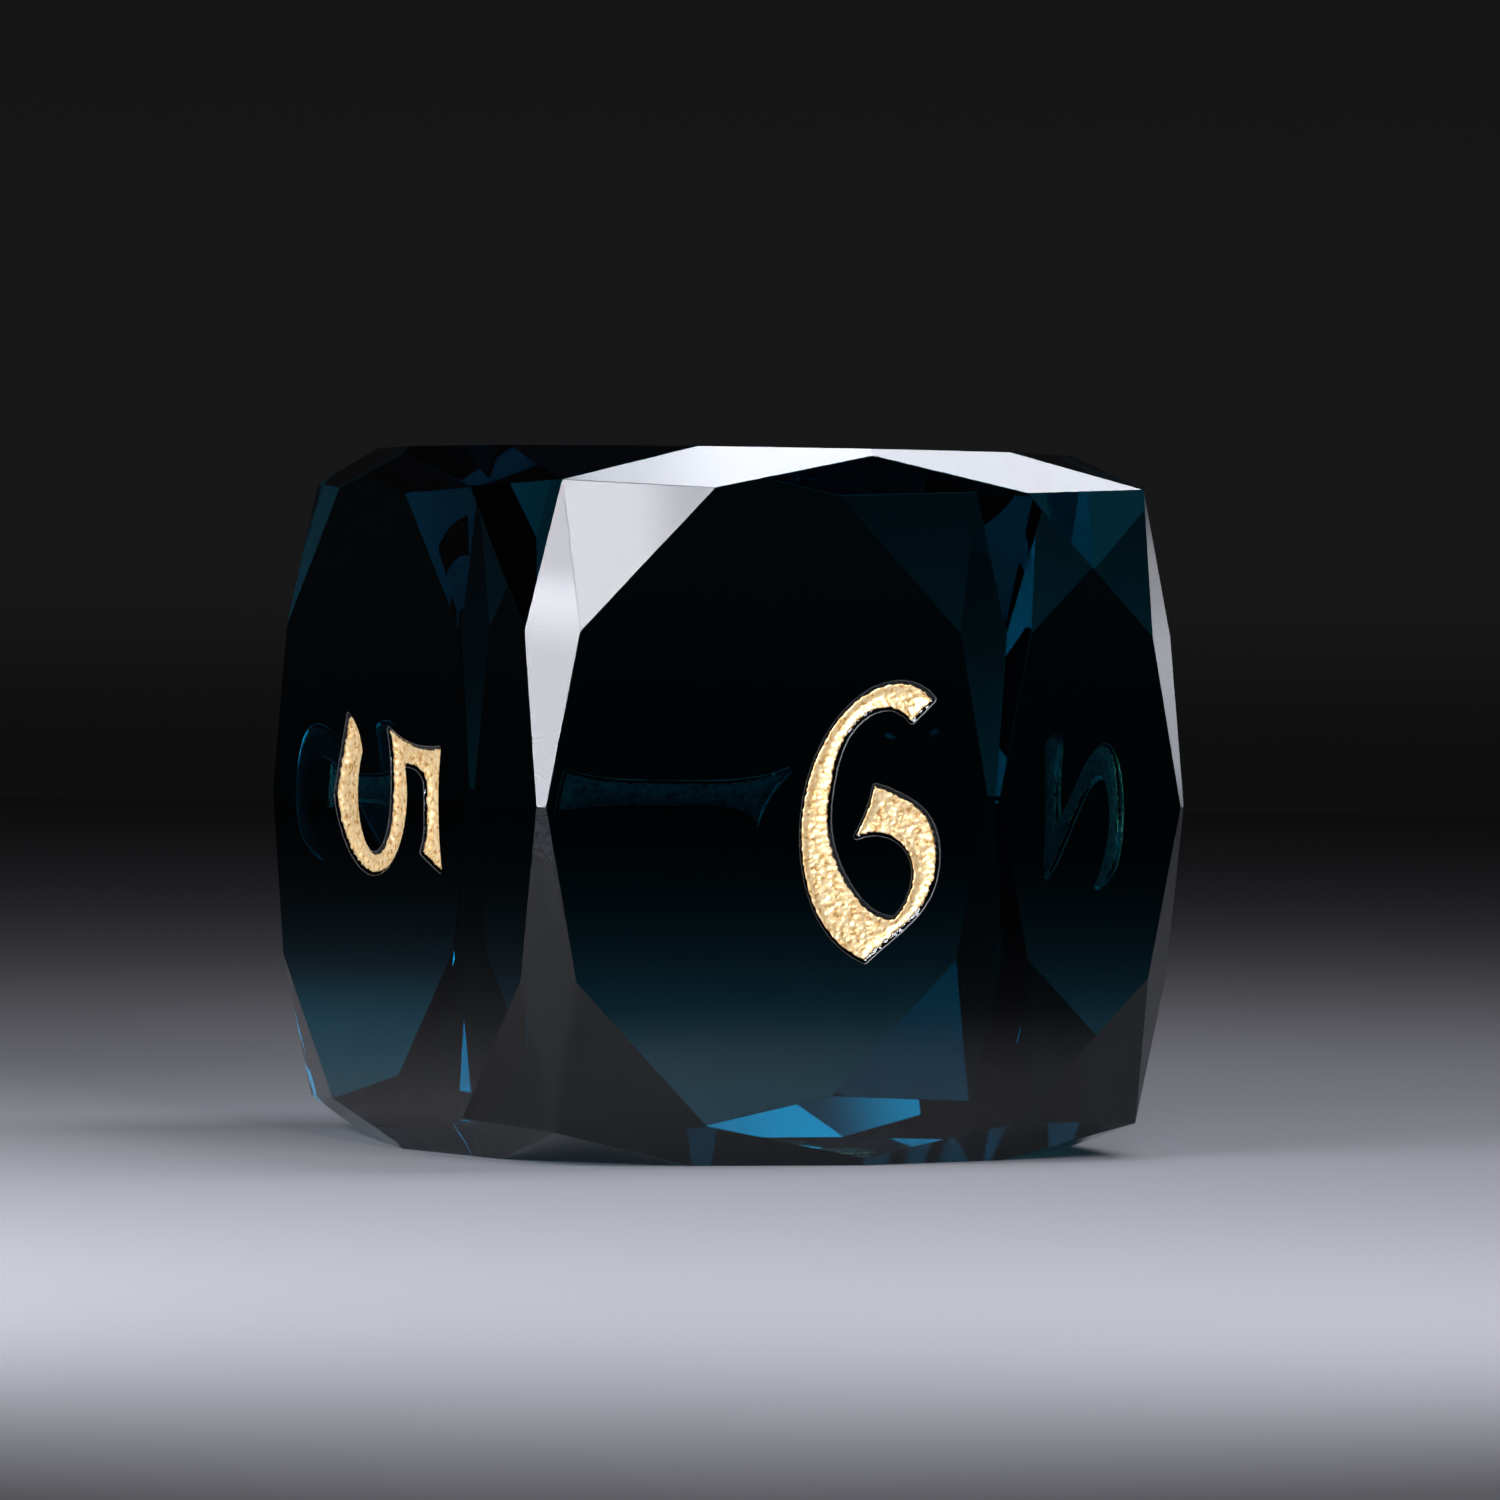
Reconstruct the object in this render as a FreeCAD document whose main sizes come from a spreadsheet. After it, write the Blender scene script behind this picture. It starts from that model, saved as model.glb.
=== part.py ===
import FreeCAD, Part
import os
import Sketcher

# A six-sided die cut from one block of dark teal glass, with six engraved numerals
# filled with gold paint.  Millimetres, +Z up.  The origin is the centre of the resting
# face, so the stone's centre is half its face-to-face size above it.
#
# Cutting the stone: seen along any of its six face diagonals the stone has one and the
# same outline, a ten-sided profile with a ridge over each edge.  Cutting that profile
# right through along all six diagonals leaves 6 flat faces, 24 edge facets (two meet in
# a ridge over each edge) and 24 corner facets (three meet in a point at each corner).

DIMENSIONS = {
    # the cut stone
    "face_to_face": 16.0,
    "ridge_to_ridge": 22.4,
    "corner_reach": 7.2,
    "corner_line_reach": 7.73,
    # the engraving
    "recess_depth": 0.15,
    "rim_bevel": 0.05,
    "paint_thickness": 0.07,
}

# Numerals, in millimetres from the face's centre, x to the right and y up.  Each row is
# a corner of the outline followed by the points that the curve passes through on its way
# to the next row's corner; a row with a corner alone is a straight run.
ONE = [
    [(-0.66, 1.82), (-0.36, 1.42), (-0.26, 0.60), (-0.23, -0.60), (-0.26, -2.20)],
    [(-0.36, -3.20), (0.08, -3.12)],
    [(0.52, -3.00), (0.34, -2.10), (0.28, -0.60), (0.28, 0.90), (0.38, 1.90)],
    [(0.58, 2.62), (0.02, 2.14)],
]
TWO = [
    [(-1.95, 0.75), (-1.80, 1.45)],
    [(-1.45, 2.20), (-0.45, 2.62), (0.45, 2.50), (1.15, 1.95), (1.28, 1.15), (0.75, -0.30)],
    [(-0.55, -2.50), (0.40, -2.62)],
    [(1.35, -2.35), (1.45, -2.90)],
    [(1.30, -3.40), (-0.10, -3.28)],
    [(-1.80, -3.40), (-1.30, -2.45), (-0.20, -0.90), (0.55, 0.55), (0.60, 1.30), (0.20, 1.85)],
    [(-0.70, 1.95), (-1.35, 1.50)],
]
THREE = [
    [(-1.60, 1.10), (-1.45, 1.75)],
    [(-1.15, 2.35), (-0.25, 2.78), (0.80, 2.60), (1.40, 1.85), (1.20, 0.95), (0.75, 0.45)],
    [(0.55, 0.20), (1.25, -0.15), (1.68, -0.95), (1.62, -1.95), (1.05, -2.85)],
    [(0.0, -3.60), (-0.85, -3.25)],
    [(-1.80, -2.75), (-1.50, -2.30)],
    [(-1.00, -2.00), (-0.05, -2.28), (0.62, -2.00), (0.86, -1.35), (0.62, -0.66), (0.05, -0.30)],
    [(-0.80, -0.20), (-0.82, 0.06)],
    [(-0.70, 0.32), (0.05, 0.55), (0.48, 1.05), (0.42, 1.62), (-0.02, 1.92)],
    [(-0.55, 1.85), (-1.10, 1.55)],
]
FOUR = [
    [(0.25, 2.85), (-0.75, 1.10)],
    [(-1.85, -0.85), (-1.80, -1.20)],
    [(-1.65, -1.55), (-0.70, -1.42)],
    [(0.45, -1.42), (0.40, -2.30)],
    [(0.15, -3.05), (0.70, -3.15)],
    [(1.35, -3.55), (1.14, -2.45)],
    [(1.10, -1.42), (1.50, -1.48)],
    [(1.85, -1.65), (1.74, -1.10)],
    [(1.85, -0.45), (1.50, -0.66)],
    [(1.10, -0.72), (1.14, 0.10)],
    [(1.30, 1.10), (0.85, 0.92)],
    [(0.32, 0.88), (0.44, 0.10)],
    [(0.45, -0.72), (-0.35, -0.74)],
    [(-1.00, -0.66), (-0.25, 0.90)],
    [(0.75, 2.50), (0.48, 2.62)],
]
FIVE = [
    [(-1.52, -0.74), (-1.27, 0.10), (-1.12, 1.20)],
    [(-1.14, 2.27), (-0.10, 2.17), (0.80, 2.24)],
    [(1.56, 2.41), (1.40, 1.90)],
    [(1.19, 1.29), (0.95, 1.44), (0.0, 1.48), (-0.42, 1.42), (-0.66, 1.10)],
    [(-0.75, 0.13), (-0.02, 0.32), (0.91, 0.01), (1.55, -0.72), (1.74, -1.60), (1.20, -3.05)],
    [(0.01, -3.93), (-0.80, -3.60)],
    [(-1.80, -3.19), (-1.62, -2.85)],
    [(-1.02, -2.38), (-0.10, -2.63), (0.88, -2.33), (1.36, -1.60), (1.16, -0.98), (0.25, -0.51)],
]
SIX = [
    [(1.55, 2.42), (0.95, 2.74), (0.30, 2.68), (-0.67, 2.02), (-1.42, 0.69), (-1.61, -0.85),
     (-1.13, -2.49)],
    [(-0.05, -3.40), (0.69, -2.81), (1.47, -2.00), (1.70, -1.10), (1.45, -0.24), (0.84, 0.21)],
    [(0.17, 0.46), (0.0, -0.09)],
    [(-0.28, -0.63), (0.17, -0.55), (0.72, -0.70), (1.10, -1.15), (1.10, -1.86)],
    [(0.66, -2.51), (0.20, -2.40), (-0.51, -1.71), (-0.96, -0.66), (-0.91, 0.64), (-0.40, 1.82),
     (0.35, 2.24)],
    [(1.04, 1.95)],
]

# The face that each numeral is on: the origin plane it is measured from, whether its
# outward direction is that plane's normal, and how far the numeral is turned on it,
# counter-clockwise as it is read.  Opposite faces add up to seven.
FACES = {
    "numeral_1": (ONE, "XZ_Plane", False, 90),
    "numeral_2": (TWO, "YZ_Plane", True, 90),
    "numeral_3": (THREE, "XY_Plane", False, 0),
    "numeral_4": (FOUR, "XY_Plane", True, 0),
    "numeral_5": (FIVE, "YZ_Plane", False, -90),
    "numeral_6": (SIX, "XZ_Plane", True, 0),
}

# The six face diagonals: an origin plane, the turn on it that brings the profile's axis
# along X, Y or Z, and the tilt about that axis.
DIAGONALS = [
    (role, turn, tilt)
    for role, turn in (("XY_Plane", 0), ("YZ_Plane", 0), ("XZ_Plane", 90))
    for tilt in (45, -45)
]

X_AXIS = FreeCAD.Vector(1, 0, 0)
Y_AXIS = FreeCAD.Vector(0, 1, 0)
Z_AXIS = FreeCAD.Vector(0, 0, 1)

HALF_SIZE = "Dimensions.face_to_face / 2"
# On each face the numeral's edges lie inside this radius, and the facets' edges outside it.
NUMERAL_FIELD = 5.0
ON_FACE_TOLERANCE = 1e-6

doc = FreeCAD.newDocument("polyhedral_die")
sheet = doc.addObject("Spreadsheet::Sheet", "Dimensions")
for row, (alias, value) in enumerate(DIMENSIONS.items(), start=1):
    sheet.set(f"A{row}", alias)
    sheet.set(f"B{row}", str(value))
    sheet.setAlias(f"B{row}", alias)
doc.recompute()


def new_body(name):
    body = doc.addObject("PartDesign::Body", name)
    body.Label = name
    return body


def origin_plane(body, role):
    return next(plane for plane in body.Origin.OriginFeatures if plane.Role == role)


def new_sketch(body, name, role, rotation=FreeCAD.Rotation()):
    """A sketch on one of the body's origin planes, turned on it by rotation."""
    sketch = body.newObject("Sketcher::SketchObject", name)
    sketch.AttachmentSupport = [(origin_plane(body, role), "")]
    sketch.MapMode = "FlatFace"
    sketch.AttachmentOffset = FreeCAD.Placement(FreeCAD.Vector(), rotation)
    return sketch


def join_loop(sketch, first, count):
    """Ties the end of each edge of a loop to the start of the next."""
    for index in range(count):
        following = first + (index + 1) % count
        sketch.addConstraint(Sketcher.Constraint("Coincident", first + index, 2, following, 1))


def draw_polygon(sketch, corners):
    """A polygon whose corners are pairs of expressions, x and y from the sketch's origin."""
    first = sketch.GeometryCount
    places = []
    for x, y in corners:
        places.append(FreeCAD.Vector(float(sketch.evalExpression(x)), float(sketch.evalExpression(y)), 0))
    for start, end in zip(places, places[1:] + places[:1]):
        sketch.addGeometry(Part.LineSegment(start, end))
    join_loop(sketch, first, len(places))
    for edge, (place, (x, y)) in enumerate(zip(places, corners), start=first):
        for kind, value, expression in (("DistanceX", place.x, x), ("DistanceY", place.y, y)):
            number = sketch.addConstraint(Sketcher.Constraint(kind, -1, 1, edge, 1, value))
            sketch.setExpression(f"Constraints[{number}]", expression)


def draw_numeral(sketch, outline):
    corners = [run[0] for run in outline]
    for run, end in zip(outline, corners[1:] + corners[:1]):
        points = [FreeCAD.Vector(x, y, 0) for x, y in run + [end]]
        if len(points) == 2:
            sketch.addGeometry(Part.LineSegment(*points))
        else:
            curve = Part.BSplineCurve()
            curve.interpolate(points)
            sketch.addGeometry(curve)
    join_loop(sketch, 0, len(outline))


def square(half):
    return [(f"{x} * {half}", f"{y} * {half}") for x, y in ((-1, -1), (1, -1), (1, 1), (-1, 1))]


def cutting_profile():
    """The stone's outline along a face diagonal: x runs along an edge, y away from the centre."""
    ridge = ("0", "Dimensions.ridge_to_ridge / 2")
    corner = ("Dimensions.corner_reach", "sqrt(2) * Dimensions.corner_reach")
    face_edge = (HALF_SIZE, "Dimensions.corner_line_reach")
    right_side = [ridge, corner, face_edge]
    right_side += [(x, f"-({y})") for x, y in reversed(right_side)]
    left_side = [(f"-({x})", y) for x, y in reversed(right_side[1:-1])]
    return right_side + left_side


def add_cut(body, kind, name, settings, bound_sizes):
    """A pocket or chamfer, which has to take some glass away."""
    before = body.Shape.Volume
    feature = body.newObject(kind, name)
    for setting, value in settings.items():
        setattr(feature, setting, value)
    for size, expression in bound_sizes.items():
        feature.setExpression(size, expression)
    doc.recompute()
    if not 0 < body.Shape.Volume < before:
        raise RuntimeError(f"{name} did not cut")
    return feature


def make_stone():
    """The faceted block, before engraving."""
    body = new_body("glass_body")
    outline = new_sketch(body, "block_outline", "XY_Plane")
    draw_polygon(outline, square(HALF_SIZE))
    block = body.newObject("PartDesign::Pad", "block")
    block.Profile = outline
    block.SideType = "Symmetric"
    block.setExpression("Length", "Dimensions.face_to_face")
    doc.recompute()
    for number, (role, turn, tilt) in enumerate(DIAGONALS, start=1):
        rotation = FreeCAD.Rotation(Z_AXIS, turn) * FreeCAD.Rotation(X_AXIS, tilt)
        profile = new_sketch(body, f"facet_profile_{number}", role, rotation)
        draw_polygon(profile, square("Dimensions.face_to_face"))
        draw_polygon(profile, cutting_profile())
        settings = {"Profile": profile, "Type": "ThroughAll", "SideType": "Symmetric"}
        add_cut(body, "PartDesign::Pocket", f"facet_cut_{number}", settings, {})
    return body


def face_turn(outward, turn):
    """The rotation from an origin plane to a numeral on a face parallel to it."""
    flip = FreeCAD.Rotation(Y_AXIS, 0 if outward else 180)
    return flip * FreeCAD.Rotation(Z_AXIS, turn)


def numeral_rim(shape, face_centre):
    """The names of the edges where a recess meets its flat face."""
    outward = face_centre / face_centre.Length
    names = []
    for number, edge in enumerate(shape.Edges, start=1):
        offsets = [point - face_centre for point in edge.discretize(3)]
        on_face = all(abs(offset.dot(outward)) < ON_FACE_TOLERANCE for offset in offsets)
        if on_face and all(offset.Length < NUMERAL_FIELD for offset in offsets):
            names.append(f"Edge{number}")
    return names


def engrave(body, name, outline, role, outward, turn):
    """A flat-bottomed recess in the shape of the numeral, with its sharp rim broken."""
    sketch = new_sketch(body, f"{name}_outline", role, face_turn(outward, turn))
    sketch.setExpression("AttachmentOffset.Base.z", HALF_SIZE if outward else f"-{HALF_SIZE}")
    draw_numeral(sketch, outline)
    depth = {"Length": "Dimensions.recess_depth"}
    recess = add_cut(body, "PartDesign::Pocket", f"{name}_recess", {"Profile": sketch}, depth)
    rim = numeral_rim(recess.Shape, sketch.Placement.Base)
    bevel = {"Size": "Dimensions.rim_bevel"}
    add_cut(body, "PartDesign::Chamfer", f"{name}_rim", {"Base": (recess, rim)}, bevel)


def fill(name, outline, role, outward, turn):
    """The gold paint on the floor of a recess, lower than the rim."""
    paint = new_body(name)
    sketch = new_sketch(paint, f"{name}_paint_outline", "XY_Plane")
    draw_numeral(sketch, outline)
    layer = paint.newObject("PartDesign::Pad", f"{name}_paint")
    layer.Profile = sketch
    layer.setExpression("Length", "Dimensions.paint_thickness")
    rotation = origin_plane(paint, role).Placement.Rotation * face_turn(outward, turn)
    paint.Placement = FreeCAD.Placement(FreeCAD.Vector(), rotation)
    direction = rotation.multVec(Z_AXIS)
    floor = f"({HALF_SIZE} - Dimensions.recess_depth)"
    paint.setExpression("Placement.Base.x", f"{round(direction.x)} * {floor}")
    paint.setExpression("Placement.Base.y", f"{round(direction.y)} * {floor}")
    paint.setExpression("Placement.Base.z", f"{HALF_SIZE} + {round(direction.z)} * {floor}")
    return paint


stone = make_stone()
pieces = [stone]
for name, placing in FACES.items():
    engrave(stone, name, *placing)
    pieces.append(fill(name, *placing))
stone.setExpression("Placement.Base.z", HALF_SIZE)
doc.recompute()

for item in doc.Objects:
    if "Invalid" in item.State or "Error" in item.State:
        raise RuntimeError(f"{item.Name} failed: {item.State}")
for piece in pieces:
    if piece.Shape.isNull() or not piece.Shape.isValid():
        raise RuntimeError(f"{piece.Label} has no valid shape")

os.makedirs("parts", exist_ok=True)
for piece in pieces:
    piece.Shape.exportStep(f"parts/{piece.Label}.step")
    print(f"{piece.Label}: {piece.Shape.Volume:.2f} mm3")
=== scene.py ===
import math

import bmesh
import bpy
import numpy as np
from mathutils import Matrix, Vector, noise
from mathutils.geometry import delaunay_2d_cdt


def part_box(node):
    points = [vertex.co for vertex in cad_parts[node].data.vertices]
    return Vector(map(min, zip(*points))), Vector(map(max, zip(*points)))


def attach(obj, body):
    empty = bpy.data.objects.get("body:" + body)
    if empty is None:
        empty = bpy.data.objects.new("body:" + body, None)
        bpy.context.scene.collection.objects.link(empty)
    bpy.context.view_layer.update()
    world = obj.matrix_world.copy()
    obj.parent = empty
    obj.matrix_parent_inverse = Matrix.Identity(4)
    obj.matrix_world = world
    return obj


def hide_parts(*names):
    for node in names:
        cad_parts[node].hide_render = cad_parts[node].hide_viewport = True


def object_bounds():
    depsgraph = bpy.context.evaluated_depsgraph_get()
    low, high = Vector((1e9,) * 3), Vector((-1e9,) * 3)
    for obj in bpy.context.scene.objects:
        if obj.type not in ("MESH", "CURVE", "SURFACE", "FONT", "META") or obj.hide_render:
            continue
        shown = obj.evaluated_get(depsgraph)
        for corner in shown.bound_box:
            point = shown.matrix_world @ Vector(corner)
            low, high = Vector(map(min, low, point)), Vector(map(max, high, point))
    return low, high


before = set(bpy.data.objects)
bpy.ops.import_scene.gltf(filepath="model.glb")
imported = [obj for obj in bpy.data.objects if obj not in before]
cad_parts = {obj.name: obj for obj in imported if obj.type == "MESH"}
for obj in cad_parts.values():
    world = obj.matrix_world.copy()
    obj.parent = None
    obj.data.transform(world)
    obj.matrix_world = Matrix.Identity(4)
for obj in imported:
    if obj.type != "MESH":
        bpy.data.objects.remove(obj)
cad_low, cad_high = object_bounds()

# A six-sided die: a faceted block of tinted glass, with a gold-painted numeral engraved in
# each flat face.  The meshes are made in millimetres in the row frame and scaled to metres
# at the end, so lengths below are in millimetres unless their comment says otherwise.
MM = 0.001
NUMBERS = range(1, 7)

# The cut stone: its edges are just broken.
ARRIS_WIDTH = 0.008
ARRIS_SEGMENTS = 2
WELD_DISTANCE = 1e-4
FLAT_ANGLE = math.radians(0.1)

# An outline's points are this far apart, and a turn sharper than this stays a corner.
OUTLINE_STEP = 0.045
CORNER_TURN = math.radians(28)
# An outline moved by a distance keeps the points that are at least this share of it away
# from the old outline, and at least this share of a step from each other.
MOVED_CLEARANCE = 0.985
MOVED_SPACING = 0.35

# The engraving, measured from the paint's outline on the face: the glass drops from the
# rim to the outline and then down the wall to the floor.  A frosted lip lines the rim.
RIM_WIDTH = 0.095
RIM_DROP = 0.065
LIP_WIDTH = 0.022
WALL_WIDTH = 0.21
RIM_RAGGEDNESS = 0.010
RAGGEDNESS_SIZE = 0.09
RECESS_GRAIN_HEIGHT = 0.012
RECESS_GRAIN_SIZE = 0.10

# The gold coat, whose back bites a little into the glass
PAINT_EDGE_RAGGEDNESS = 0.034
PAINT_EDGE_THICKNESS = 0.012
PAINT_THICKNESS = 0.040
PAINT_BITE = 0.012
# Ripples cross the face, closer together up it, with a finer grain on them.  They take
# away at most a share of the coat.
RIPPLE_HEIGHT = 0.030
RIPPLE_SIZE = 0.24
RIPPLE_CLOSENESS = 2.0
RIPPLE_SHARE = 0.7
FINE_SIZE = RIPPLE_SIZE * 0.4
FINE_CLOSENESS = 1.4
FINE_SHARE = 0.6
MOST_THINNING = 0.9

# The spacing of the meshes' points, and how far they stay from an outline as a share of it
RECESS_SPACING = 0.08
RECESS_MARGIN = 0.7
FOOT_MARGIN = 0.5
FLAT_SPACING = 1.6
FLAT_MARGIN = 0.6
RIM_MARGIN = 0.4
PAINT_SPACING = 0.036
PAINT_MARGIN = 0.75
ON_OUTLINE = 1e-5

# Uneven relief: the noise's smoothness, the step in size between its layers, their number
GRAIN_SMOOTHNESS = 0.9
GRAIN_STEP = 2.1
GRAIN_LAYERS = 4
# How far apart the seeds' patterns lie in the noise, and the part of that between the
# pattern that moves an outline sideways and the one that moves it up
GRAIN_SEED_GAP = 7.31
RIPPLE_SEED_GAP = 3.1
SIDEWAYS_TO_UP = 0.5

# Glass: the colour that it lets through, and how strongly it absorbs the rest, per metre
GLASS_IOR = 1.52
GLASS_COLOUR = (0.04, 0.65, 0.715, 1)
GLASS_DENSITY = 300.0
LIP_FROSTING = 0.022
# Its roughness varies in clouds this many times as large as its bumps.
CLOUD_SIZE = 6
CLOUD_DETAIL = 4
CLOUD_RANGE = (0.45, 0.75)
BUMP_DETAIL = 3

# Gold paint and its back, which is seen through the glass: dark, middle and bright flakes
GOLD_TONES = ((0.52, 0.28, 0.09), (0.92, 0.62, 0.27), (1.0, 0.79, 0.45))
BACKING_TONES = ((0.07, 0.06, 0.05), (0.15, 0.13, 0.12), (0.24, 0.21, 0.20))
TONE_PLACES = (0.35, 0.44, 0.62)
FLAKE_SIZE = 0.13
FLAKE_DETAIL = 6
FLAKE_DISTORTION = 0.4
SPECKLE_SIZE = 0.045
SPECKLE_DETAIL = 4
SPECKLE_HEIGHT = 0.014
SPECKLE_RANGE = (0.3, 0.7)

# The view: the camera looks along the heading, an azimuth from +Y towards +X, and a little
# down.  Its distance and shifts are in metres.
VIEW_HEADING = math.radians(24.77)
VIEW_DIP = math.radians(1.03)
VIEW_ROLL = math.radians(0.70)
VIEW_DISTANCE = 0.1989
VIEW_SHIFT_RIGHT = 0.00070
VIEW_SHIFT_UP = 0.00111
LENS_MM = 206.3
SENSOR_MM = 36.0
CLIP_START = 0.001
CLIP_END = 20

# The floor's edge, in metres, lies beyond the light, where the floor is as dark as the
# backdrop behind it.
FLOOR_RADIUS = 0.32
FLOOR_SEGMENTS = 256
FLOOR_COLOUR = (0.17, 0.17, 0.18, 1)
FLOOR_ROUGHNESS = 0.85

# The backdrop's tone by the height of the line of sight, from the low to the high end
BACKDROP_SPAN = (-0.030, 0.090)
BACKDROP_TONES = ((0.0, 0.0046), (0.10, 0.0048), (0.28, 0.0090), (0.60, 0.0085), (1.0, 0.0068))
BACKDROP_TINT = 1.08

# The lights: each has a place from the stone's centre, a size, a radiance and tones from
# one side to the other.  The top one's place is x, y and z, and the others' is an azimuth
# from +X and an elevation in degrees, and a distance.
LIGHT_COLOUR = (0.965, 0.975, 1.06)
# The top light is two, the second of which alone shows through the glass.  They stand a
# little apart, because a ray finds only one of two lights in the same place.
TOP_PLACE = (30, -4.5, 67)
TOP_GAP = 0.5
TOP_SIZE = (56, 22)
TOP_RADIANCE = 11.2
TOP_RADIANCE_THROUGH = 6.5
TOP_TONES = ((0.03, 0.10), (0.09, 0.68), (0.16, 1.0), (0.30, 1.0), (0.75, 0.58), (1.0, 0.56))
FRONT_PLACE = (-92, 25, 64)
FRONT_SIZE = (32, 30)
FRONT_RADIANCE = 16.5
FRONT_TONES = ((0.0, 1.0), (0.36, 1.0), (0.415, 0.70), (1.0, 0.75))
LEFT_PLACE = (-157, 16, 64)
LEFT_SIZE = (46, 36)
LEFT_RADIANCE = 19.4
LEFT_TONES = ((0.0, 0.75), (0.47, 0.73), (0.52, 1.0), (0.548, 0.70), (1.0, 0.70))
BACK_PLACE = (25, 5.4, 120)
BACK_SIZE = (16, 20)
BACK_RADIANCE = 1.7
BACK_TONES = ((0.20, 0.0), (0.38, 0.85), (0.55, 1.0), (0.70, 0.72), (0.88, 0.0))

# Two directions whose cosine is above this are taken as the same, and two points nearer
# than this as one.
PARALLEL = 0.99
SAME_POINT = 1e-6


# ---------------------------------------------------------------- outlines on a face

class Face:
    """A flat face of the stone: its centre, the directions right, up and out, in mm."""

    def __init__(self, node):
        low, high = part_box("glass_body")
        centre = (low + high) / 2 / MM
        half = (high.x - low.x) / 2 / MM
        paint_low, paint_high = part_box(node)
        offset = (paint_low + paint_high) / 2 / MM - centre
        axis = max(range(3), key=lambda k: abs(offset[k]))
        self.out = Vector((0, 0, 0))
        self.out[axis] = math.copysign(1, offset[axis])
        self.up = Vector((0, 1, 0)) if axis == 2 else Vector((0, 0, 1))
        self.right = self.up.cross(self.out)
        self.centre = centre + self.out * half
        corners = (paint_low, paint_high)
        self.floor_depth = max(abs((corner / MM - self.centre).dot(self.out)) for corner in corners)

    def flat(self, point):
        """The point's x and y on the face."""
        offset = point - self.centre
        return (offset.dot(self.right), offset.dot(self.up))

    def place(self, x, y, height):
        """The point at x and y on the face, at a height above it."""
        return self.centre + self.right * x + self.up * y + self.out * height


def paint_outline(node, face):
    """The corners of the CAD paint's outline, in order, as an array of x and y on the face."""
    bm = bmesh.new()
    bm.from_mesh(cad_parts[node].data)
    bmesh.ops.scale(bm, vec=(1 / MM,) * 3, verts=bm.verts)
    bmesh.ops.remove_doubles(bm, verts=bm.verts, dist=WELD_DISTANCE)
    top = {f for f in bm.faces if f.normal.dot(face.out) > PARALLEL}
    following = {}
    for f in top:
        for loop in f.loops:
            if sum(other in top for other in loop.edge.link_faces) == 1:
                following[loop.vert] = loop.link_loop_next.vert
    start = next(iter(following))
    points, vert = [], start
    while not points or vert is not start:
        points.append(face.flat(vert.co))
        vert = following[vert]
    bm.free()
    return np.array(points)


def tangent(before, point, after, chord, length):
    """The outline's direction at a point, times length, or the chord where it is a corner."""
    turn = abs(np.angle(complex(*(after - point)) / complex(*(point - before))))
    if turn > CORNER_TURN:
        return chord
    arriving = (point - before) / np.linalg.norm(point - before)
    leaving = (after - point) / np.linalg.norm(after - point)
    heading = arriving + leaving
    return heading / np.linalg.norm(heading) * length


def smooth_outline(points):
    """Points at an even step along the outline: curved between its points, sharp at its corners."""
    result = []
    count = len(points)
    for i in range(count):
        before, start, end, after = (points[(i + k) % count] for k in (-1, 0, 1, 2))
        chord = end - start
        length = np.linalg.norm(chord)
        leaving = tangent(before, start, end, chord, length)
        arriving = tangent(start, end, after, chord, length)
        steps = max(1, round(length / OUTLINE_STEP))
        for k in range(steps):
            t = k / steps
            result.append(
                (2 * t**3 - 3 * t**2 + 1) * start + (t**3 - 2 * t**2 + t) * leaving
                + (3 * t**2 - 2 * t**3) * end + (t**3 - t**2) * arriving
            )
    return np.array(result)


def depth_inside(points, outline):
    """The distance of each point from the outline, positive inside and negative outside."""
    points = np.asarray(points, float)
    start, end = outline, np.roll(outline, -1, axis=0)
    along = end - start
    offset = points[:, None, :] - start[None]
    share = (offset * along[None]).sum(2) / (along**2).sum(1)[None]
    nearest = offset - np.clip(share, 0, 1)[..., None] * along[None]
    distance = np.sqrt((nearest**2).sum(2)).min(1)
    crosses = (start[None, :, 1] > points[:, None, 1]) != (end[None, :, 1] > points[:, None, 1])
    with np.errstate(divide="ignore", invalid="ignore"):
        slope = along[:, 0] / along[:, 1]
        cross_x = start[None, :, 0] + (points[:, None, 1] - start[None, :, 1]) * slope[None]
    inside = (crosses & (points[:, None, 0] < cross_x)).sum(1) % 2 == 1
    return np.where(inside, distance, -distance)


def offset_outline(outline, distance):
    """The outline moved outwards by distance, or inwards if it is negative."""
    ahead = np.roll(outline, -1, axis=0) - outline
    ahead /= np.linalg.norm(ahead, axis=1)[:, None]
    behind = np.roll(ahead, 1, axis=0)
    moved = []
    for point, first, second in zip(outline, behind, ahead):
        turn = np.angle(complex(*second) / complex(*first))
        steps = max(1, math.ceil(abs(turn) * abs(distance) / OUTLINE_STEP))
        fans = steps + 1 if turn * distance > 0 else 1
        for k in range(fans):
            share = k / steps if fans > 1 else 0.5
            heading = math.atan2(first[1], first[0]) + turn * share - math.pi / 2
            moved.append(point + distance * np.array((math.cos(heading), math.sin(heading))))
    moved = np.array(moved)
    clear = np.abs(depth_inside(moved, outline)) > abs(distance) * MOVED_CLEARANCE
    moved = moved[clear]
    gaps = np.linalg.norm(moved - np.roll(moved, 1, axis=0), axis=1)
    return moved[gaps > OUTLINE_STEP * MOVED_SPACING]


def grain(x, y, seed, size):
    """Uneven relief of about -1 to 1, the same for the same place and seed."""
    place = Vector((x / size, y / size, seed * GRAIN_SEED_GAP))
    return noise.fractal(place, GRAIN_SMOOTHNESS, GRAIN_STEP, GRAIN_LAYERS)


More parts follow.
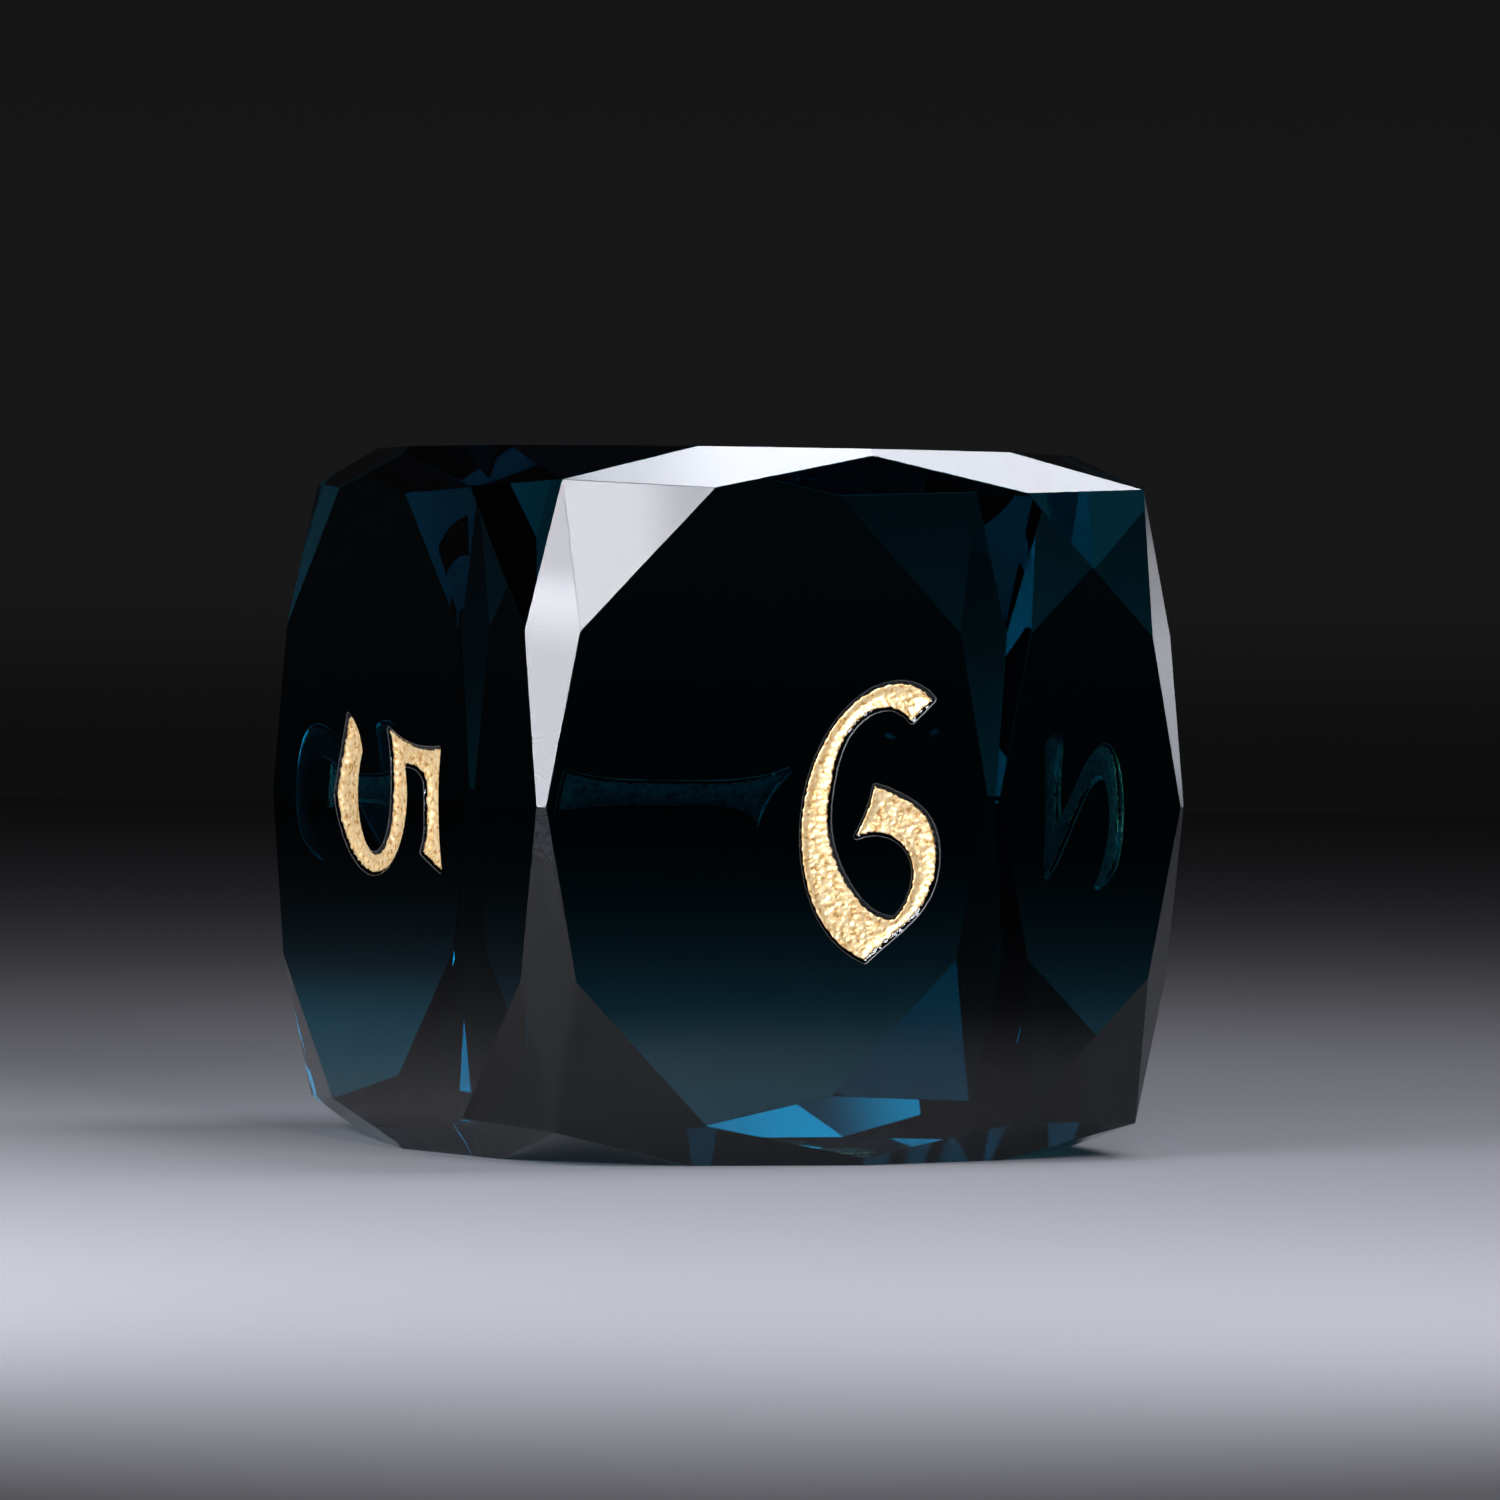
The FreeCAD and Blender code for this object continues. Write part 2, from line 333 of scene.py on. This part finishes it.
def roughen(outline, amount, seed):
    """The outline with its points moved unevenly, by up to about the amount."""
    moved = []
    for x, y in outline:
        side = grain(x, y, seed, RAGGEDNESS_SIZE)
        up = grain(x, y, seed + SIDEWAYS_TO_UP, RAGGEDNESS_SIZE)
        moved.append((x + side * amount, y + up * amount))
    return np.array(moved)


def grid_inside(outline, spacing, margin):
    """A staggered grid of points at least margin inside the outline."""
    low, high = outline.min(0), outline.max(0)
    points = []
    row_step = spacing * math.sqrt(3) / 2
    for row in range(math.ceil((high[1] - low[1]) / row_step)):
        shift = spacing / 2 * (row % 2)
        for column in range(math.ceil((high[0] - low[0]) / spacing)):
            points.append((low[0] + column * spacing + shift, low[1] + row * row_step))
    points = np.array(points)
    return points[depth_inside(points, outline) > margin]


def triangulate(loops, loose):
    """Triangles over the loops' edges and the loose points: places, sources and triangles."""
    coords, edges = [], []
    for loop in loops:
        first = len(coords)
        coords += [Vector(p) for p in loop]
        edges += [(first + k, first + (k + 1) % len(loop)) for k in range(len(loop))]
    coords += [Vector(p) for p in loose]
    places, _, triangles, sources, _, _ = delaunay_2d_cdt(coords, edges, [], 0, SAME_POINT)
    return np.array(places), sources, np.array(triangles)


# ---------------------------------------------------------------- the engraving's relief

def ease(t):
    """From 0 to 1, slow at both ends."""
    t = np.clip(t, 0, 1)
    return t * t * (3 - 2 * t)


def recess_depth(inside, face):
    """How deep the glass is cut, by distance inside the paint's outline."""
    rim = np.clip((inside + RIM_WIDTH) / RIM_WIDTH, 0, 1) * RIM_DROP
    wall = ease(inside / WALL_WIDTH) * (face.floor_depth - RIM_DROP)
    return rim + wall


def coat_thickness(inside):
    """The paint is thin at its edge on the wall and lies thicker on the floor."""
    return PAINT_EDGE_THICKNESS + ease(inside / WALL_WIDTH) * (PAINT_THICKNESS - PAINT_EDGE_THICKNESS)


def ripple(x, y, seed):
    """The paint's relief: crumpled ripples that run across the face, with finer grain on them."""
    place = Vector((x / RIPPLE_SIZE, y / RIPPLE_SIZE * RIPPLE_CLOSENESS, seed * RIPPLE_SEED_GAP))
    ridges = 0.5 - 2 * abs(noise.noise(place))
    return ridges * RIPPLE_SHARE + grain(x, y * FINE_CLOSENESS, seed, FINE_SIZE) * FINE_SHARE


# ---------------------------------------------------------------- the meshes

def finish_object(name, bm, materials, node):
    """A visible piece in metres that rides on the die's body in place of a CAD node."""
    mesh = bpy.data.meshes.new(name)
    bm.normal_update()
    bm.to_mesh(mesh)
    bm.free()
    mesh.transform(Matrix.Scale(MM, 4))
    for material in materials:
        mesh.materials.append(material)
    piece = bpy.data.objects.new(name, mesh)
    bpy.context.scene.collection.objects.link(piece)
    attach(piece, "root")
    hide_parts(node)
    return piece


def cut_stone():
    """The faceted block with its edges just broken, from the corners of the CAD stone."""
    bm = bmesh.new()
    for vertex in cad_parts["glass_body"].data.vertices:
        bm.verts.new(vertex.co / MM)
    bmesh.ops.remove_doubles(bm, verts=bm.verts, dist=WELD_DISTANCE)
    hull = bmesh.ops.convex_hull(bm, input=bm.verts)
    inner = [v for v in hull["geom_interior"] if isinstance(v, bmesh.types.BMVert)]
    bmesh.ops.delete(bm, geom=inner, context="VERTS")
    bmesh.ops.dissolve_limit(bm, angle_limit=FLAT_ANGLE, verts=bm.verts, edges=bm.edges)
    bmesh.ops.bevel(
        bm, geom=list(bm.edges), offset=ARRIS_WIDTH, offset_type="OFFSET", segments=ARRIS_SEGMENTS,
        profile=0.5, affect="EDGES",
    )
    return bm


def face_points(border, rim, outline, foot):
    """Loose points for a face's mesh, close together in the recess and wide apart around it."""
    inner = grid_inside(outline, RECESS_SPACING, RECESS_SPACING * RECESS_MARGIN)
    wide = grid_inside(border, FLAT_SPACING, FLAT_SPACING * FLAT_MARGIN)
    wide = wide[depth_inside(wide, rim) < -FLAT_SPACING * RIM_MARGIN]
    inner = inner[np.abs(depth_inside(inner, foot)) > RECESS_SPACING * FOOT_MARGIN]
    return np.vstack([inner, wide])


def engrave(bm, face, outline, seed):
    """Replaces a flat face of the stone with one that has the numeral's recess in it."""
    flat_face = max(bm.faces, key=lambda f: f.normal.dot(face.out) * f.calc_area())
    border = list(flat_face.verts)
    bmesh.ops.delete(bm, geom=[flat_face], context="FACES_ONLY")
    border_flat = np.array([face.flat(v.co) for v in border])
    rim = roughen(offset_outline(outline, RIM_WIDTH), RIM_RAGGEDNESS, seed)
    lip = roughen(offset_outline(outline, RIM_WIDTH - LIP_WIDTH), RIM_RAGGEDNESS, seed)
    foot = offset_outline(outline, -WALL_WIDTH / 2)
    loops = [border_flat, rim, lip, outline, foot]
    places, sources, triangles = triangulate(loops, face_points(border_flat, rim, outline, foot))
    cut = recess_depth(depth_inside(places, outline), face)
    depths = np.where(depth_inside(places, rim) > ON_OUTLINE, cut, 0)
    verts = []
    for place, source, depth in zip(places, sources, depths):
        border_index = next((s for s in source if s < len(border)), None)
        if border_index is not None:
            verts.append(border[border_index])
            continue
        on_rim = any(s < len(border) + len(rim) for s in source)
        if on_rim:
            depth = 0
        elif depth > 0:
            depth += grain(*place, seed, RECESS_GRAIN_SIZE) * RECESS_GRAIN_HEIGHT
        verts.append(bm.verts.new(face.place(*place, -depth)))
    add_triangles(bm, verts, triangles, material_slots(places[triangles].mean(1), rim, lip))


def material_slots(centres, rim, lip):
    """The stone's material at each place: polished outside the rim, then the lip, then cut."""
    return (depth_inside(centres, rim) > 0).astype(int) + (depth_inside(centres, lip) > 0)


def add_triangles(bm, verts, triangles, slots):
    """Faces over the vertices: those of the first material are flat, and the others smooth."""
    for triangle, slot in zip(triangles, slots):
        new = bm.faces.new([verts[k] for k in triangle])
        new.material_index = int(slot)
        new.smooth = bool(slot)


def gold_coat(face, outline, seed):
    """A closed, grainy layer of paint that lines the recess, biting a little into the glass."""
    edge = roughen(outline, PAINT_EDGE_RAGGEDNESS, seed)
    loose = grid_inside(edge, PAINT_SPACING, PAINT_SPACING * PAINT_MARGIN)
    places, sources, triangles = triangulate([edge], loose)
    inside = depth_inside(places, outline)
    on_edge = np.array([any(s < len(edge) for s in source) for source in sources])
    bm = bmesh.new()
    upper, lower = [], []
    heights = zip(places, on_edge, recess_depth(inside, face), coat_thickness(inside))
    for place, edge_vert, depth, thickness in heights:
        if not edge_vert:
            thickness += max(ripple(*place, seed) * RIPPLE_HEIGHT, -thickness * MOST_THINNING)
        upper.append(bm.verts.new(face.place(*place, thickness - depth)))
        lower.append(bm.verts.new(face.place(*place, -depth - PAINT_BITE)))
    kept = triangles[depth_inside(places[triangles].mean(1), edge) > 0]
    close_coat(bm, upper, lower, kept)
    return bm


def close_coat(bm, upper, lower, triangles):
    """The coat's top, its back in the second material, and the wall between their borders."""
    for triangle in triangles:
        bm.faces.new([upper[k] for k in triangle]).smooth = True
        back = bm.faces.new([lower[k] for k in reversed(triangle)])
        back.smooth = True
        back.material_index = 1
    partner = dict(zip(upper, lower))
    border = [e for e in bm.edges if e.is_boundary and all(v in partner for v in e.verts)]
    for edge in border:
        loop = edge.link_loops[0]
        first, second = loop.vert, loop.link_loop_next.vert
        bm.faces.new([second, first, partner[first], partner[second]])
    unused = [v for v in bm.verts if not v.link_faces]
    bmesh.ops.delete(bm, geom=unused, context="VERTS")


# ---------------------------------------------------------------- materials

def new_material(name):
    material = bpy.data.materials.new(name)
    material.use_nodes = True
    nodes, links = material.node_tree.nodes, material.node_tree.links
    return material, nodes, links, nodes["Principled BSDF"]


def add_node(nodes, kind, **inputs):
    """A new node with some of its inputs set."""
    node = nodes.new(kind)
    for name, value in inputs.items():
        node.inputs[name].default_value = value
    return node


def position(nodes):
    return nodes.new("ShaderNodeTexCoord").outputs["Object"]


def noise_texture(nodes, links, place, size, detail, distortion=0.0):
    """Noise from 0 to 1 whose features are about size millimetres across."""
    settings = {"Scale": 1 / (size * MM), "Detail": detail, "Distortion": distortion}
    texture = add_node(nodes, "ShaderNodeTexNoise", **settings)
    links.new(place, texture.inputs["Vector"])
    return texture.outputs["Fac"]


def map_range(nodes, links, value, old, new):
    """The value moved from the old range to the new one, and held inside it."""
    settings = {"From Min": old[0], "From Max": old[1], "To Min": new[0], "To Max": new[1]}
    node = add_node(nodes, "ShaderNodeMapRange", **settings)
    links.new(value, node.inputs["Value"])
    return node.outputs["Result"]


def bump(nodes, links, height, distance, shader):
    """Tilts the shader's normal by a height, which at 1 stands for a distance in mm."""
    node = add_node(nodes, "ShaderNodeBump", Strength=1.0, Distance=distance * MM)
    links.new(height, node.inputs["Height"])
    links.new(node.outputs["Normal"], shader.inputs["Normal"])


def colour_ramp(nodes, links, value, stops, interpolation="LINEAR"):
    """A run of colours: each stop is a place from 0 to 1 and a colour."""
    node = nodes.new("ShaderNodeValToRGB")
    ramp = node.color_ramp
    ramp.interpolation = interpolation
    ramp.elements[0].position = stops[0][0]
    ramp.elements[1].position = stops[-1][0]
    for place, _ in stops[1:-1]:
        ramp.elements.new(place)
    for element, (_, colour) in zip(ramp.elements, stops):
        element.color = (*colour, 1)
    links.new(value, node.inputs["Fac"])
    return node.outputs["Color"]


def grey_ramp(nodes, links, value, tones, tint=1.0):
    """A smooth run of greys: each tone is a place from 0 to 1 and a level."""
    stops = [(place, (level, level, level * tint)) for place, level in tones]
    return colour_ramp(nodes, links, value, stops, "EASE")


def glass_material(name, roughness, bump_size, bump_height, frosting=0.0):
    """Tinted glass; frosting is the share of its surface that scatters light as a white one would."""
    material, nodes, links, shader = new_material(name)
    shader.inputs["Base Color"].default_value = (1, 1, 1, 1)
    shader.inputs["Transmission Weight"].default_value = 1.0 - frosting
    shader.inputs["IOR"].default_value = GLASS_IOR
    place = position(nodes)
    cloud = noise_texture(nodes, links, place, bump_size * CLOUD_SIZE, CLOUD_DETAIL)
    links.new(map_range(nodes, links, cloud, CLOUD_RANGE, roughness), shader.inputs["Roughness"])
    bumps = noise_texture(nodes, links, place, bump_size, BUMP_DETAIL)
    bump(nodes, links, bumps, bump_height, shader)
    volume = add_node(nodes, "ShaderNodeVolumeAbsorption", Density=GLASS_DENSITY, Color=GLASS_COLOUR)
    links.new(volume.outputs["Volume"], nodes["Material Output"].inputs["Volume"])
    return material


def gold_material(name, tones, metallic, roughness):
    """Metallic paint: flakes of three tones, with a fine grain."""
    material, nodes, links, shader = new_material(name)
    place = position(nodes)
    flakes = noise_texture(nodes, links, place, FLAKE_SIZE, FLAKE_DETAIL, FLAKE_DISTORTION)
    colour = colour_ramp(nodes, links, flakes, list(zip(TONE_PLACES, tones)))
    links.new(colour, shader.inputs["Base Color"])
    shader.inputs["Metallic"].default_value = metallic
    speckle = noise_texture(nodes, links, place, SPECKLE_SIZE, SPECKLE_DETAIL)
    links.new(map_range(nodes, links, speckle, SPECKLE_RANGE, roughness), shader.inputs["Roughness"])
    bump(nodes, links, speckle, SPECKLE_HEIGHT, shader)
    return material


def floor_material():
    material, _, _, shader = new_material("pale_floor")
    shader.inputs["Base Color"].default_value = FLOOR_COLOUR
    shader.inputs["Roughness"].default_value = FLOOR_ROUGHNESS
    return material


# ---------------------------------------------------------------- the stage

def make_floor():
    bm = bmesh.new()
    bmesh.ops.create_circle(bm, cap_ends=True, segments=FLOOR_SEGMENTS, radius=FLOOR_RADIUS)
    mesh = bpy.data.meshes.new("floor")
    bm.to_mesh(mesh)
    bm.free()
    mesh.materials.append(floor_material())
    floor = bpy.data.objects.new("floor", mesh)
    floor.location.z = cad_low.z
    bpy.context.scene.collection.objects.link(floor)


def make_camera(target):
    """The camera at its distance from the target, seeing it a little off the frame's centre."""
    along = Vector((
        math.sin(VIEW_HEADING) * math.cos(VIEW_DIP),
        math.cos(VIEW_HEADING) * math.cos(VIEW_DIP),
        -math.sin(VIEW_DIP),
    ))
    level = Vector((math.cos(VIEW_HEADING), -math.sin(VIEW_HEADING), 0))
    level_up = level.cross(along)
    right = level * math.cos(VIEW_ROLL) + level_up * math.sin(VIEW_ROLL)
    up = right.cross(along)
    data = bpy.data.cameras.new("camera")
    data.lens = LENS_MM
    data.sensor_width = SENSOR_MM
    data.clip_start = CLIP_START
    data.clip_end = CLIP_END
    camera = bpy.data.objects.new("camera", data)
    place = target - along * VIEW_DISTANCE + right * VIEW_SHIFT_RIGHT + up * VIEW_SHIFT_UP
    camera.matrix_world = Matrix.Translation(place) @ Matrix((right, up, -along)).transposed().to_4x4()
    bpy.context.scene.collection.objects.link(camera)
    bpy.context.scene.camera = camera


def towards(azimuth, elevation, distance):
    """A place at an azimuth from +X and an elevation, in degrees, at a distance in mm."""
    a, e = math.radians(azimuth), math.radians(elevation)
    return Vector((math.cos(a) * math.cos(e), math.sin(a) * math.cos(e), math.sin(e))) * distance


def soft_box(name, place, back, size, radiance, axis, tones):
    """A rectangular light in mm, shaded by the tones along its own X or Y, facing away from back."""
    data = bpy.data.lights.new(name, "AREA")
    data.shape = "RECTANGLE"
    data.size, data.size_y = (length * MM for length in size)
    data.energy = radiance * math.pi * data.size * data.size_y
    data.color = LIGHT_COLOUR
    data.use_nodes = True
    nodes, links = data.node_tree.nodes, data.node_tree.links
    split = nodes.new("ShaderNodeSeparateXYZ")
    links.new(nodes.new("ShaderNodeNewGeometry").outputs["Parametric"], split.inputs["Vector"])
    links.new(grey_ramp(nodes, links, split.outputs[axis], tones), nodes["Emission"].inputs["Strength"])
    light = bpy.data.objects.new(name, data)
    back = back.normalized()
    side = Vector((1, 0, 0)) if back.z > PARALLEL else Vector((0, 0, 1)).cross(back).normalized()
    turn = Matrix((side, back.cross(side), back)).transposed()
    light.matrix_world = Matrix.Translation(place * MM) @ turn.to_4x4()
    light.visible_camera = False
    bpy.context.scene.collection.objects.link(light)
    return light


def make_lights(target):
    """Soft boxes above, in front and to the left, and a small card behind."""
    centre = target / MM
    up = Vector((0, 0, 1))
    top = centre + Vector(TOP_PLACE)
    hidden = soft_box("top_softbox", top, up, TOP_SIZE, TOP_RADIANCE, "X", TOP_TONES)
    hidden.visible_transmission = False
    above = top + up * TOP_GAP
    soft_box("top_softbox_through", above, up, TOP_SIZE, TOP_RADIANCE_THROUGH, "X", TOP_TONES)
    front = towards(*FRONT_PLACE)
    soft_box("front_softbox", centre + front, front, FRONT_SIZE, FRONT_RADIANCE, "X", FRONT_TONES)
    left = towards(*LEFT_PLACE)
    side = soft_box("left_softbox", centre + left, left, LEFT_SIZE, LEFT_RADIANCE, "Y", LEFT_TONES)
    side.visible_transmission = False
    behind = towards(*BACK_PLACE)
    soft_box("back_card", centre + behind, behind, BACK_SIZE, BACK_RADIANCE, "Y", BACK_TONES)


def make_backdrop():
    """A dim backdrop that fades to the floor's darkness just under the level of the eye."""
    world = bpy.data.worlds.new("studio")
    world.use_nodes = True
    nodes, links = world.node_tree.nodes, world.node_tree.links
    direction = nodes.new("ShaderNodeTexCoord").outputs["Generated"]
    split = nodes.new("ShaderNodeSeparateXYZ")
    links.new(direction, split.inputs["Vector"])
    height = map_range(nodes, links, split.outputs["Z"], BACKDROP_SPAN, (0.0, 1.0))
    colour = grey_ramp(nodes, links, height, BACKDROP_TONES, BACKDROP_TINT)
    links.new(colour, nodes["Background"].inputs["Color"])
    bpy.context.scene.world = world


# ---------------------------------------------------------------- the scene

def stone_materials():
    """The stone's materials in the order of its slots: the polished faces, the lip, the recess."""
    return [
        glass_material("polished_glass", roughness=(0.0, 0.012), bump_size=0.5, bump_height=0.0001),
        glass_material(
            "frosted_lip", roughness=(0.35, 0.50), bump_size=0.05, bump_height=0.006,
            frosting=LIP_FROSTING,
        ),
        glass_material("cut_glass", roughness=(0.02, 0.06), bump_size=0.08, bump_height=0.001),
    ]


def coat_materials():
    """The coat's materials in the order of its slots: its front and its back."""
    return [
        gold_material("gold_paint", GOLD_TONES, metallic=0.6, roughness=(0.28, 0.46)),
        gold_material("paint_against_glass", BACKING_TONES, metallic=0.2, roughness=(0.6, 0.8)),
    ]


def make_die():
    """The gold coat of each numeral, and the stone with a recess for each of them."""
    gold = coat_materials()
    stone = cut_stone()
    for number in NUMBERS:
        node = f"numeral_{number}"
        face = Face(node)
        outline = smooth_outline(paint_outline(node, face))
        engrave(stone, face, outline, number)
        coat = finish_object(f"gold_{node}", gold_coat(face, outline, number), gold, node)
    glass = finish_object("cut_glass_body", stone, stone_materials(), "glass_body")


make_die()
make_floor()
target = (cad_low + cad_high) / 2
make_camera(target)
make_lights(target)
make_backdrop()
bpy.context.scene.view_settings.view_transform = "Standard"
